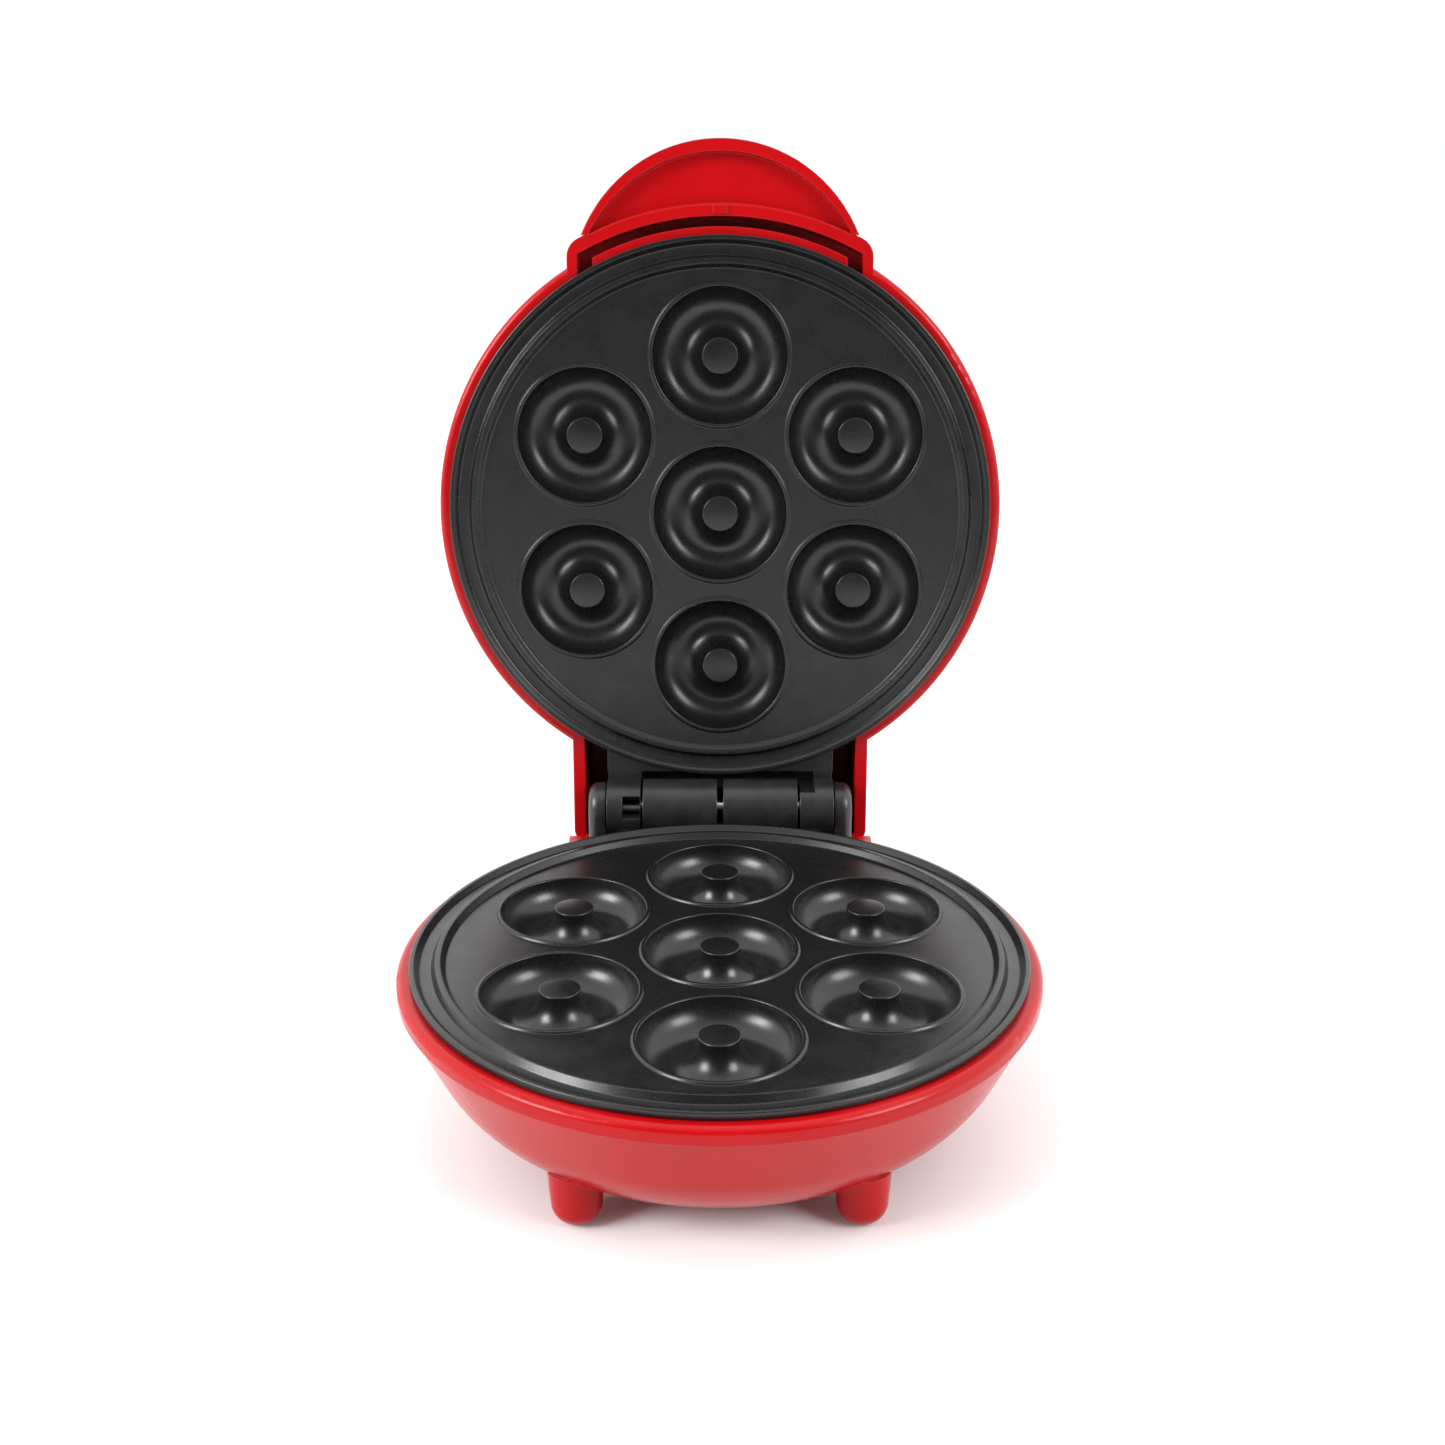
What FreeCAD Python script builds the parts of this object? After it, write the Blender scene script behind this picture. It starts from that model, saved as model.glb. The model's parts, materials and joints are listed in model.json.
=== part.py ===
"""Donut maker with a hinged lid: two red shells, two cast plates with ring cavities, one hinge.

The plates' frame is used for modelling: its origin is the middle of the lower plate, level with the
flat part between its cavities, X to the right, Y to the back and Z up. The lid is modelled
closed, over the base. At the end every piece is placed: the base stands on its feet at z = 0 and the
lid is turned open about the hinge pin.
"""
import FreeCAD, Part
import math
import os
import types

import Sketcher
from FreeCAD import Placement, Rotation, Vector

DRIVING_SIZES = [
    ("plate_radius", 100.2, "outer radius of both plates"),
    ("rim_height", 1.45, "raised edge of a plate above its flat part"),
    ("ridge_height", 2.0, "ridge round the cavities above the flat part"),
    ("moat_sink", 0.4, "channel between ridge and edge below the flat part"),
    ("bead_height", 0.7, "bead round a cavity above the flat part"),
    ("rim_drop", 1.07, "underside of a plate's flange below its flat part"),
    ("web_under", 4.0, "underside of a plate's flat part"),
    ("skirt_radius", 96.5, "inner edge of a plate's flange"),
    ("pitch_radius", 57.5, "circle of the six outer cavities"),
    ("trough_radius", 24.6, "outer radius of a ring cavity"),
    ("trough_depth", 9.3, "depth of a ring cavity"),
    ("core_radius", 6.6, "post in the middle of a cavity"),
    ("core_height", 1.2, "top of that post above the flat part"),
    ("cast_wall", 2.5, "wall of the casting round a cavity"),
    ("closed_gap", 1.84, "gap between the two plates' ridges, closed"),
    ("front_screw_x", 26.0, "front plate screws from the middle plane"),
    ("front_screw_y", 74.5, "front plate screws in front of the middle"),
    ("rear_screw_x", 43.0, "rear plate screws from the middle plane"),
    ("rear_screw_y", 66.0, "rear plate screws behind the middle"),
    ("boss_depth", 15.0, "end of a plate's bosses below the plate"),
    ("element_ring", 88.5, "mean radius of the heating element"),
    ("element_depth", 7.4, "middle of the heating element below the plate"),
    ("element_tube", 3.3, "radius of the heating element's tube"),
    ("sheet", 0.6, "thickness of the heat shields"),
    ("shell_radius", 104.4, "outer radius of the red rims"),
    ("shell_top", 1.3, "red rim below the plate"),
    ("ledge_radius", 98.5, "inner radius of the red rims"),
    ("crease_depth", 7.2, "line under the red rim"),
    ("bowl_arc", 42.8, "bend radius of the bowl"),
    ("bowl_arc_radius", 55.7, "centre of that bend from the axis"),
    ("bowl_arc_depth", 8.2, "centre of that bend below the plate"),
    ("shell_wall", 2.5, "wall of the red shells"),
    ("ground", 57.0, "the feet's ends below the plate"),
    ("foot_x", 43.0, "feet from the middle plane"),
    ("front_foot", 66.0, "front feet in front of the middle"),
    ("rear_foot", 88.0, "rear feet behind the middle"),
    ("foot_radius", 7.9, "radius of a foot"),
    ("foot_round", 6.7, "rounding of a foot's end"),
    ("neck_half", 56.5, "half the width of the necks"),
    ("neck_inner", 51.9, "half the width inside the necks"),
    ("neck_corner", 5.0, "rounded upright corners of the necks"),
    ("base_neck_back", 114.7, "back of the base's neck"),
    ("lid_neck_back", 128.0, "back of the lid's neck"),
    ("hinge_y", 112.6, "hinge pin behind the middle"),
    ("pin_radius", 2.5, "radius of the hinge pin"),
    ("running_gap", 0.06, "play of the hinge pin in the lid's knuckles"),
    ("barrel_radius", 10.9, "radius of the hinge barrels"),
    ("barrel_inner", 1.2, "middle barrels from the middle plane"),
    ("barrel_outer", 29.4, "outer end of the middle barrels"),
    ("knuckle_inner", 30.3, "inner end of the lid's knuckles"),
    ("knuckle_outer", 43.1, "outer end of the lid's knuckles"),
    ("ear_inner", 43.6, "inner face of the base's ears"),
    ("ear_outer", 50.3, "outer face of the base's ears"),
    ("ear_radius", 9.6, "radius of the base's ears"),
    ("ear_round", 4.0, "rounding of the ears' outer ends"),
    ("swing_relief", 18.5, "clearance round the hinge in the base's side walls"),
    ("crown_arc", 219.7, "bend radius of the lid's crown"),
    ("crown_height", 60.0, "top of the lid above its own plate"),
    ("cover_radius", 86.0, "radius of the cover on the lid"),
    ("cover_sheet", 2.0, "thickness of the cover on the lid"),
    ("bulge_half", 55.3, "half the width of the lid's front"),
    ("lip_outer", 111.2, "outer radius of the front lip"),
    ("lip_inner", 106.6, "inner radius of the front lip"),
    ("slot_inner", 103.0, "wall behind the slot in the front"),
    ("slot_half", 51.5, "half the width of the slot"),
    ("slot_wall_half", 46.0, "half the width of the wall behind the slot"),
    ("handle_arc", 54.3, "radius of the handle's outline"),
    ("handle_centre", 78.9, "centre of that outline in front of the middle"),
    ("recess_arc", 53.5, "radius of the hollow under the handle"),
    ("recess_centre", 75.3, "centre of that hollow in front of the middle"),
    ("handle_recess", 3.6, "depth of the handle's hollow underside"),
    ("open_angle", 96.4, "how far the lid opens"),
    ("frame_back", 42.3, "middle of the open object behind the plate's middle"),
]

FLIPPED = Rotation(Vector(0, 1, 0), 180)
UPRIGHT = {
    "XY": Rotation(),
    "XZ": Rotation(Vector(1, 0, 0), 90),
    "YZ": Rotation(Vector(1, 1, 1), 120),
}
LIFT = {"XY": "z", "XZ": "y", "YZ": "x"}

doc = FreeCAD.newDocument("donut_maker")


class Size:
    """A number together with the expression that ties it to the sheet."""

    def __init__(self, value, text):
        self.value = value
        self.text = text

    def __add__(self, other):
        other = as_size(other)
        return Size(self.value + other.value, f"({self.text} + {other.text})")

    def __sub__(self, other):
        other = as_size(other)
        return Size(self.value - other.value, f"({self.text} - {other.text})")

    def __mul__(self, other):
        other = as_size(other)
        return Size(self.value * other.value, f"({self.text} * {other.text})")

    def __truediv__(self, other):
        other = as_size(other)
        return Size(self.value / other.value, f"({self.text} / {other.text})")

    def __neg__(self):
        return Size(-self.value, f"(0 - {self.text})")

    def __radd__(self, other):
        return as_size(other) + self

    def __rsub__(self, other):
        return as_size(other) - self

    def __rmul__(self, other):
        return as_size(other) * self

    def root(self):
        """The square root, as a Size."""
        return Size(math.sqrt(self.value), f"sqrt({self.text})")


def as_size(number):
    """Give a bare number the form of a Size."""
    if isinstance(number, Size):
        return number
    return Size(float(number), repr(float(number)))


def make_sheet():
    """Write the driving sizes to a sheet and return them as Sizes under their own names."""
    sheet = doc.addObject("Spreadsheet::Sheet", "Sizes")
    found = {}
    for row, (alias, value, meaning) in enumerate(DRIVING_SIZES, start=1):
        sheet.set(f"A{row}", alias.replace("_", " "))
        sheet.set(f"B{row}", str(value))
        sheet.set(f"C{row}", meaning)
        sheet.setAlias(f"B{row}", alias)
        found[alias] = Size(value, f"Sizes.{alias}")
    doc.recompute()
    return types.SimpleNamespace(**found)


d = make_sheet()
rise = d.ridge_height * 2 + d.closed_gap
hinge_z = rise / 2


def bind(thing, **bindings):
    """Tie properties to Sizes; two underscores in a name stand for a dot."""
    for name, size in bindings.items():
        thing.setExpression(name.replace("__", "."), as_size(size).text)
    return thing


def bind_place(thing, x, y, z, turn=None):
    """Tie a primitive's place to Sizes."""
    thing.Placement = Placement(Vector(0, 0, 0), turn or Rotation())
    bind(thing, Placement__Base__x=x, Placement__Base__y=y, Placement__Base__z=z)
    return thing


def arc_between(start, end, bend):
    """Arc of radius |bend| from start to end: anticlockwise if bend is positive."""
    chord = end - start
    half = chord.Length / 2
    side = Vector(-chord.y, chord.x, 0).normalize()
    reach = math.sqrt(max(bend * bend - half * half, 0.0))
    centre = (start + end) * 0.5 + side * math.copysign(reach, bend)
    first, last = (start, end) if bend > 0 else (end, start)
    angles = [math.atan2(p.y - centre.y, p.x - centre.x) for p in (first, last)]
    circle = Part.Circle(centre, Vector(0, 0, 1), abs(bend))
    return Part.ArcOfCircle(circle, angles[0], angles[1])


def outline(sketch, points):
    """Draw a closed outline whose corners, and the radii of its arcs, follow the sheet.

    A point is (x, y) at the end of a straight run, or (x, y, bend) at the end of an arc.
    """
    corners = [(as_size(p[0]), as_size(p[1]), p[2] if len(p) > 2 else None) for p in points]
    shapes = []
    for index, (x, y, bend) in enumerate(corners):
        before = corners[index - 1]
        start = Vector(before[0].value, before[1].value, 0)
        end = Vector(x.value, y.value, 0)
        if bend is None:
            shapes.append(Part.LineSegment(start, end))
        else:
            shapes.append(arc_between(start, end, as_size(bend).value))
    sketch.addGeometry(shapes, False)
    rules = []
    bindings = []
    for index, (x, y, bend) in enumerate(corners):
        backward = bend is not None and as_size(bend).value < 0
        tail = 1 if backward else 2
        following = (index + 1) % len(corners)
        next_bend = corners[following][2]
        next_backward = next_bend is not None and as_size(next_bend).value < 0
        head = 2 if next_backward else 1
        rules.append(Sketcher.Constraint("Coincident", index, tail, following, head))
        for kind, size, axis in (("DistanceX", x, -2), ("DistanceY", y, -1)):
            if abs(size.value) < 1e-9:
                rules.append(Sketcher.Constraint("PointOnObject", index, tail, axis))
            else:
                bindings.append((len(rules), size))
                rules.append(Sketcher.Constraint(kind, -1, 1, index, tail, size.value))
        if bend is not None:
            size = as_size(bend)
            size = -size if size.value < 0 else size
            bindings.append((len(rules), size))
            rules.append(Sketcher.Constraint("Radius", index, size.value))
    sketch.addConstraint(rules)
    for index, size in bindings:
        sketch.setExpression(f"Constraints[{index}]", size.text)
    return sketch


def circles(sketch, places, radius):
    """Draw equal circles at the given places."""
    radius = as_size(radius)
    for x, y in places:
        x, y = as_size(x), as_size(y)
        centre = Vector(x.value, y.value, 0)
        index = sketch.addGeometry(Part.Circle(centre, Vector(0, 0, 1), radius.value), False)
        rule = sketch.addConstraint(Sketcher.Constraint("Radius", index, radius.value))
        sketch.setExpression(f"Constraints[{rule}]", radius.text)
        for kind, size, axis in (("DistanceX", x, -2), ("DistanceY", y, -1)):
            if abs(size.value) < 1e-9:
                sketch.addConstraint(Sketcher.Constraint("PointOnObject", index, 3, axis))
            else:
                rule = sketch.addConstraint(Sketcher.Constraint(kind, -1, 1, index, 3, size.value))
                sketch.setExpression(f"Constraints[{rule}]", size.text)
    return sketch


# Pieces made of primitives, extrusions and booleans

def revolved(name, points, x=0, y=0):
    """Turn an outline of (radius, height) points about the upright line through (x, y)."""
    sketch = doc.addObject("Sketcher::SketchObject", name + "_outline")
    outline(sketch, points)
    bind_place(sketch, x, y, 0, UPRIGHT["XZ"])
    solid = doc.addObject("Part::Revolution", name)
    solid.Source = sketch
    solid.Axis = Vector(0, 0, 1)
    solid.Angle = 360
    solid.Solid = True
    bind(solid, Base__x=x, Base__y=y)
    return solid


def extruded(name, plane, points, length, start=0, symmetric=False):
    """Pull an outline off its plane: XY goes up, YZ to the right."""
    sketch = doc.addObject("Sketcher::SketchObject", name + "_outline")
    outline(sketch, points)
    sketch.Placement = Placement(Vector(0, 0, 0), UPRIGHT[plane])
    sketch.setExpression("Placement.Base." + LIFT[plane], as_size(start).text)
    solid = doc.addObject("Part::Extrusion", name)
    solid.Base = sketch
    solid.DirMode = "Normal"
    solid.Symmetric = symmetric
    solid.Solid = True
    bind(solid, LengthFwd=length)
    return solid


def cylinder(name, radius, height, x, y, z, turn=None):
    """An upright cylinder, or one along the turned Z axis, standing on (x, y, z)."""
    solid = doc.addObject("Part::Cylinder", name)
    bind(solid, Radius=radius, Height=height)
    return bind_place(solid, x, y, z, turn)


def box(name, low, high):
    """A box between two corners."""
    solid = doc.addObject("Part::Box", name)
    spans = [as_size(b) - as_size(a) for a, b in zip(low, high)]
    bind(solid, Length=spans[0], Width=spans[1], Height=spans[2])
    return bind_place(solid, low[0], low[1], low[2])


def fused(name, shapes):
    """One solid out of several."""
    solid = doc.addObject("Part::MultiFuse", name)
    solid.Shapes = shapes
    return solid


def shared(name, shapes):
    """What several solids have in common."""
    solid = doc.addObject("Part::MultiCommon", name)
    solid.Shapes = shapes
    return solid


def cut(name, base, tool):
    """A solid with another taken away."""
    solid = doc.addObject("Part::Cut", name)
    solid.Base = base
    solid.Tool = tool
    return solid


def group(name, shapes):
    """Equal pieces kept as separate solids in one node."""
    solid = doc.addObject("Part::Compound", name)
    solid.Links = shapes
    return solid


# Pieces made as bodies with sketched features

def new_body(name):
    """An empty body."""
    body = doc.addObject("PartDesign::Body", name)
    body.Label = name
    return body


def sketch_in(body, name, role, x=0, y=0, z=0):
    """A sketch on one of the body's own planes, moved by (x, y, z) in that plane's frame."""
    sketch = body.newObject("Sketcher::SketchObject", name)
    plane = next(f for f in body.Origin.OriginFeatures if f.Role == role)
    sketch.AttachmentSupport = (plane, [""])
    sketch.MapMode = "FlatFace"
    bind(sketch, AttachmentOffset__Base__x=x, AttachmentOffset__Base__y=y, AttachmentOffset__Base__z=z)
    return sketch


def turned(body, name, sketch, axis="V_Axis"):
    """Add an outline turned about one of its sketch's own axes."""
    feature = body.newObject("PartDesign::Revolution", name)
    feature.Profile = sketch
    feature.ReferenceAxis = (sketch, [axis])
    feature.Angle = 360
    sketch.Visibility = False
    return feature


def raised(body, name, sketch, length, reverse=False, both_ways=False):
    """Pad a sketch."""
    feature = body.newObject("PartDesign::Pad", name)
    feature.Profile = sketch
    feature.Reversed = reverse
    feature.Midplane = both_ways
    bind(feature, Length=length)
    return feature


def sunk(body, name, sketch, depth, reverse=False, both_ways=False):
    """Pocket a sketch."""
    feature = body.newObject("PartDesign::Pocket", name)
    feature.Profile = sketch
    feature.Reversed = reverse
    feature.Midplane = both_ways
    bind(feature, Length=depth)
    return feature


def rectangle(x_low, y_low, x_high, y_high):
    """Corners of a rectangle, anticlockwise."""
    return [(x_low, y_low), (x_high, y_low), (x_high, y_high), (x_low, y_high)]


def mirrored_pair(x, y):
    """A place and its mirror image in the middle plane."""
    return [(x, y), (-x, y)]


REAR_SCREWS = mirrored_pair(d.rear_screw_x, d.rear_screw_y)
SCREW_PLACES = REAR_SCREWS + mirrored_pair(d.front_screw_x, -d.front_screw_y)
THERMOSTAT_X = 73.0
THERMOSTAT_EAR = 12.0
FUSE_X = -73.0
FUSE_SCREW_Y = 9.0
GLAND_Z = -22.0
CLAMP_Y = 96.0
CLAMP_Z = -29.5
CLAMP_POST_X = 9.0
BLOCK_Y = 19.0
BASE_SCREWS_X = (-36, 36)
BASE_SCREWS_Z = -18.0
LID_SCREWS_X = (-34, -12, 12, 34)
LID_SCREWS_Z = 25.0
FLANK_ACROSS = math.cos(math.radians(24.0))
FLANK_DOWN = math.sin(math.radians(24.0))
LENS_X = 9.0
LENS_Y = -48.0


def plate(half):
    """Cast plate: edged disc with a drip groove, seven ring cavities, ribs and bosses underneath."""
    body = new_body(half + "_plate")
    rib_outer = d.element_ring + 4.6
    rib_inner = d.element_ring - 4.6
    rib_end = -d.element_depth - 1.1
    disc = sketch_in(body, half + "_plate_disc_outline", "XZ_Plane")
    outline(disc, [
        (0, 0), (88.6, 0), (90.2, d.ridge_height - 0.2), (90.6, d.ridge_height), (91.8, d.ridge_height),
        (92.2, d.ridge_height - 0.4), (93.3, -d.moat_sink), (97.1, -d.moat_sink),
        (98.7, d.rim_height), (d.plate_radius - 0.5, d.rim_height),
        (d.plate_radius, d.rim_height - 0.5, -0.5), (d.plate_radius, -d.rim_drop),
        (d.skirt_radius, -d.rim_drop), (d.skirt_radius - 0.5, -d.web_under), (rib_outer, -d.web_under),
        (rib_outer, rib_end), (rib_outer - 1.1, rib_end), (rib_outer - 1.1, -d.web_under),
        (rib_inner + 1.1, -d.web_under), (rib_inner + 1.1, rib_end), (rib_inner, rib_end),
        (rib_inner, -d.web_under), (0, -d.web_under),
    ])
    turned(body, half + "_plate_disc", disc)

    places = [(0, 0)]
    for step in range(6):
        angle = math.radians(30 + 60 * step)
        across = round(math.cos(angle), 9)
        along = round(math.sin(angle), 9)
        places.append((d.pitch_radius * across, d.pitch_radius * along))
    openings = sketch_in(body, half + "_plate_openings_outline", "XY_Plane", z=5)
    circles(openings, places, d.trough_radius + 1)
    sunk(body, half + "_plate_openings", openings, 12)

    middle_radius = (d.core_radius + d.trough_radius) / 2
    bend = middle_radius - d.core_radius
    side_end = bend - d.trough_depth
    bead_foot = d.trough_radius + 1.6
    ring = [
        (0, d.core_height), (d.core_radius - 0.4, d.core_height), (d.core_radius, d.core_height - 0.4, -0.4),
        (d.core_radius, side_end), (middle_radius, -d.trough_depth, bend), (d.trough_radius, side_end, bend),
        (d.trough_radius, d.bead_height - 0.6), (d.trough_radius + 0.6, d.bead_height, -0.6),
        (bead_foot - d.bead_height, d.bead_height), (bead_foot, 0, -d.bead_height), (bead_foot, side_end),
        (d.trough_radius + d.cast_wall, side_end),
        (middle_radius, -d.trough_depth - d.cast_wall, -(bend + d.cast_wall)),
        (0, -d.trough_depth - d.cast_wall),
    ]
    middle = sketch_in(body, half + "_plate_middle_ring_outline", "YZ_Plane")
    outline(middle, ring)
    turned(body, half + "_plate_middle_ring", middle)
    outer = sketch_in(body, half + "_plate_outer_ring_outline", "YZ_Plane", x=d.pitch_radius)
    outline(outer, ring)
    outer_ring = turned(body, half + "_plate_outer_ring", outer)
    rings = body.newObject("PartDesign::PolarPattern", half + "_plate_rings")
    rings.Originals = [outer_ring]
    rings.Axis = (next(f for f in body.Origin.OriginFeatures if f.Role == "Z_Axis"), [""])
    rings.Angle = 360
    rings.Occurrences = 6
    body.Tip = rings

    bosses = sketch_in(body, half + "_plate_bosses_outline", "XY_Plane", z=-3.5)
    circles(bosses, SCREW_PLACES, 4.5)
    raised(body, half + "_plate_bosses", bosses, d.boss_depth - 3.5, reverse=True)
    holes = sketch_in(body, half + "_plate_screw_holes_outline", "XY_Plane", z=-d.boss_depth)
    circles(holes, SCREW_PLACES, 2.0)
    sunk(body, half + "_plate_screw_holes", holes, d.boss_depth - 5, reverse=True)
    small = [(THERMOSTAT_X, THERMOSTAT_EAR), (THERMOSTAT_X, -THERMOSTAT_EAR), (FUSE_X, FUSE_SCREW_Y)]
    pads = sketch_in(body, half + "_plate_small_bosses_outline", "XY_Plane", z=-3.5)
    circles(pads, small, 3.2)
    raised(body, half + "_plate_small_bosses", pads, 4.5, reverse=True)
    small_holes = sketch_in(body, half + "_plate_small_holes_outline", "XY_Plane", z=-8)
    circles(small_holes, small, 1.5)
    sunk(body, half + "_plate_small_holes", small_holes, 4, reverse=True)
    return body


def heating_element(half):
    """Tubular element bent to a ring that is open at the back, with two short upright ends."""
    start = 102.0
    ring = doc.addObject("Part::Torus", half + "_element_ring")
    bind(ring, Radius1=d.element_ring, Radius2=d.element_tube)
    ring.Angle3 = 336
    bind_place(ring, 0, 0, -d.element_depth, Rotation(Vector(0, 0, 1), start))
    ends = []
    for side in (1, -1):
        angle = math.radians(90 + side * 12)
        x = d.element_ring * math.cos(angle)
        y = d.element_ring * math.sin(angle)
        name = f"{half}_element_end_{'left' if side > 0 else 'right'}"
        ends.append(cylinder(name, d.element_tube, 7.6, x, y, -d.element_depth - 7.6))
        ball = doc.addObject("Part::Sphere", name + "_bend")
        bind(ball, Radius=d.element_tube)
        ends.append(bind_place(ball, x, y, -d.element_depth))
    return fused(half + "_heating_element", [ring] + ends)


def element_terminals(half):
    """Ceramic beads in the element's ends and the pins that the leads go on."""
    beads = []
    pins = []
    for side in (1, -1):
        angle = math.radians(90 + side * 12)
        x = d.element_ring * math.cos(angle)
        y = d.element_ring * math.sin(angle)
        bottom = -d.element_depth - 7.6
        name = f"{half}_{'left' if side > 0 else 'right'}"
        bead = cylinder(name + "_bead", 2.9, 3.0, x, y, bottom - 3.0)
        bore = cylinder(name + "_bead_bore", 1.1, 3.0, x, y, bottom - 3.0)
        beads.append(cut(name + "_bored_bead", bead, bore))
        pins.append(cylinder(name + "_pin", 1.1, 9.0, x, y, bottom - 9.0))
    return group(half + "_terminal_insulators", beads), group(half + "_terminal_pins", pins)


def heat_shield(half):
    """Shallow sheet dish under the plate, with holes for the screws, thermostat and element ends."""
    body = new_body(half + "_heat_shield")
    top = -d.boss_depth
    dish = sketch_in(body, half + "_shield_outline", "XZ_Plane")
    outline(dish, [
        (0, top), (0, top - d.sheet), (89.0, top - d.sheet), (92.0, top + 2), (92.0, top + 4.2),
        (91.0, top + 4.2), (91.0, top + 2.2), (88.4, top),
    ])
    turned(body, half + "_shield_dish", dish)
    holes = sketch_in(body, half + "_shield_holes_outline", "XY_Plane", z=top - 5)
    circles(holes, SCREW_PLACES, 2.3)
    sunk(body, half + "_shield_holes", holes, 10, reverse=True)
    window = sketch_in(body, half + "_shield_window_outline", "XY_Plane", z=top - 5)
    circles(window, [(THERMOSTAT_X, 0)], 9.5)
    sunk(body, half + "_shield_window", window, 10, reverse=True)
    notch = sketch_in(body, half + "_shield_notch_outline", "XY_Plane", z=top - 5)
    outline(notch, rectangle(-25, 80, 25, 100))
    sunk(body, half + "_shield_notch", notch, 14, reverse=True)
    return body


def screw(name, head_radius, head_height, shank_radius, shank, x, y, z, turn=None):
    """Pan-head screw with a cross recess. (x, y, z) is under the head and the shank points along +Z."""
    head = cylinder(name + "_head", head_radius, head_height, 0, 0, -head_height)
    shaft = cylinder(name + "_shank", shank_radius, shank, 0, 0, 0)
    blank = fused(name + "_blank", [head, shaft])
    arm = head_radius * 0.6
    depth = head_height * 0.55
    slots = fused(name + "_cross", [
        box(name + "_slot_across", (-arm, -0.4, -head_height), (arm, 0.4, depth - head_height)),
        box(name + "_slot_along", (-0.4, -arm, -head_height), (0.4, arm, depth - head_height)),
    ])
    return bind_place(cut(name, blank, slots), x, y, z, turn)


def plate_screws(half):
    """Four screws that come up through the shell's posts and the heat shield into the plate."""
    screws = []
    for index, (x, y) in enumerate(SCREW_PLACES, start=1):
        screws.append(screw(f"{half}_plate_screw_{index}", 3.6, 2.4, 1.9, 17.5, x, y, -24))
    return group(half + "_plate_screws", screws)


def thermostat(half):
    """Disc thermostat with a two-hole flange and two blade terminals, held against the plate."""
    body = new_body(half + "_thermostat")
    can = sketch_in(body, half + "_thermostat_outline", "XZ_Plane", x=THERMOSTAT_X)
    outline(can, [
        (0, -4.1), (7.2, -4.1), (7.8, -4.7, -0.6), (7.8, -8.0), (8.2, -8.0), (8.2, -16.5), (0, -16.5),
    ])
    turned(body, half + "_thermostat_can", can)
    flange = sketch_in(body, half + "_thermostat_flange_outline", "XY_Plane", z=-8)
    outline(flange, [
        (THERMOSTAT_X + 3.2, THERMOSTAT_EAR), (THERMOSTAT_X, THERMOSTAT_EAR + 3.2, 3.2),
        (THERMOSTAT_X - 3.2, THERMOSTAT_EAR, 3.2), (THERMOSTAT_X - 3.2, -THERMOSTAT_EAR),
        (THERMOSTAT_X, -THERMOSTAT_EAR - 3.2, 3.2), (THERMOSTAT_X + 3.2, -THERMOSTAT_EAR, 3.2),
    ])
    raised(body, half + "_thermostat_flange", flange, 1.2, reverse=True)
    holes = sketch_in(body, half + "_thermostat_holes_outline", "XY_Plane", z=-12)
    circles(holes, [(THERMOSTAT_X, THERMOSTAT_EAR), (THERMOSTAT_X, -THERMOSTAT_EAR)], 1.7)
    sunk(body, half + "_thermostat_holes", holes, 6, reverse=True)
    for side, low in (("front", -5.5), ("back", 4.7)):
        blade = sketch_in(body, f"{half}_thermostat_{side}_blade_outline", "XY_Plane", z=-16)
        outline(blade, rectangle(THERMOSTAT_X - 2.4, low, THERMOSTAT_X + 2.4, low + 0.8))
        raised(body, f"{half}_thermostat_{side}_blade", blade, 7, reverse=True)
    return body


def thermostat_screws(half):
    """Two small screws through the thermostat's flange."""
    screws = []
    for side, y in (("back", THERMOSTAT_EAR), ("front", -THERMOSTAT_EAR)):
        screws.append(screw(f"{half}_thermostat_screw_{side}", 2.6, 1.6, 1.4, 4.6, THERMOSTAT_X, y, -9.2))
    return group(half + "_thermostat_screws", screws)


def thermal_fuse(half):
    """Sleeved cutoff that lies against the plate's underside, with its clip and screw."""
    along = Rotation(Vector(1, 0, 0), 90)
    barrel = cylinder(half + "_fuse_barrel", 2.0, 11.0, FUSE_X, 3.0, -6.1, along)
    wire = cylinder(half + "_fuse_wire", 0.5, 21.0, FUSE_X, 3.9, -6.1, along)
    fuse = fused(half + "_thermal_fuse", [barrel, wire])
    clip = new_body(half + "_fuse_clip")
    strap = sketch_in(clip, half + "_fuse_strap_outline", "XY_Plane", z=-8.1)
    outline(strap, rectangle(FUSE_X - 3.5, -7.5, FUSE_X + 3.5, 12.5))
    raised(clip, half + "_fuse_strap", strap, 0.8, reverse=True)
    hole = sketch_in(clip, half + "_fuse_clip_hole_outline", "XY_Plane", z=-12)
    circles(hole, [(FUSE_X, FUSE_SCREW_Y)], 1.7)
    sunk(clip, half + "_fuse_clip_hole", hole, 6, reverse=True)
    fixing = screw(half + "_fuse_clip_screw", 2.6, 1.6, 1.4, 4.6, FUSE_X, FUSE_SCREW_Y, -8.9)
    return fuse, clip, group(half + "_fuse_screw", [fixing])


def bowl_outline(offset):
    """Half section of a bowl from its axis to under the rim, for a wall offset inwards."""
    bend = d.bowl_arc - offset
    join_radius = d.bowl_arc_radius + bend * FLANK_ACROSS
    join_depth = -d.bowl_arc_depth - bend * FLANK_DOWN
    return [
        (0, -d.bowl_arc_depth - bend), (d.bowl_arc_radius, -d.bowl_arc_depth - bend),
        (join_radius, join_depth, bend),
    ]


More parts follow.
